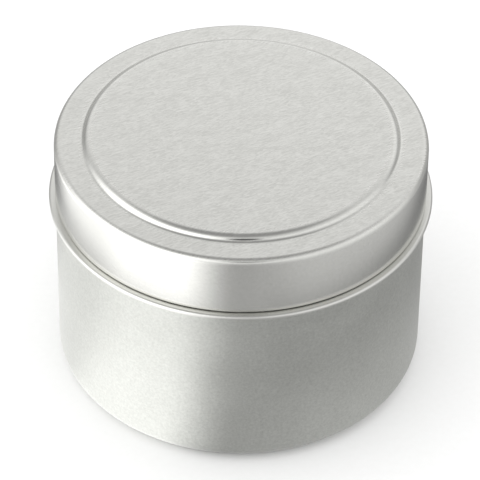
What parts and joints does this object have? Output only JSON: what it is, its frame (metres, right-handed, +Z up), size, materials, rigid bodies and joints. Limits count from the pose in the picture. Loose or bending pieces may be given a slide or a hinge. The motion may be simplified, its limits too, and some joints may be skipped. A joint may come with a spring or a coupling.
{
  "type": "candle tin",
  "caption": "Round seamless tin with a folded bead and a slip-on lid that has a raised flat panel, for pouring container candles.",
  "frame": {"origin": "centre of the base, in the plane of the flat ring that the tin stands on", "axes": "+Z up along the axis of the tin and lid; X and Y are any two level directions, because the object is a body of revolution"},
  "size_m": [0.0798, 0.0798, 0.0568],
  "materials": {
    "tinplate_satin": "satin drawn tinplate with a soft mottled grain, blurred reflections",
    "tinplate_bright": "brighter tinplate with short straight rolling grain on top and a smoother, glossier skirt"
  },
  "bodies": {
    "tin": {"tin_body": "tinplate_satin"},
    "lid": {"lid": "tinplate_bright"}
  },
  "joints": [
    {"name": "lid_lift", "type": "slide", "parent": "tin", "child": "lid", "axis": [0, 0, 1], "range_m": [0, 0.08]}
  ]
}
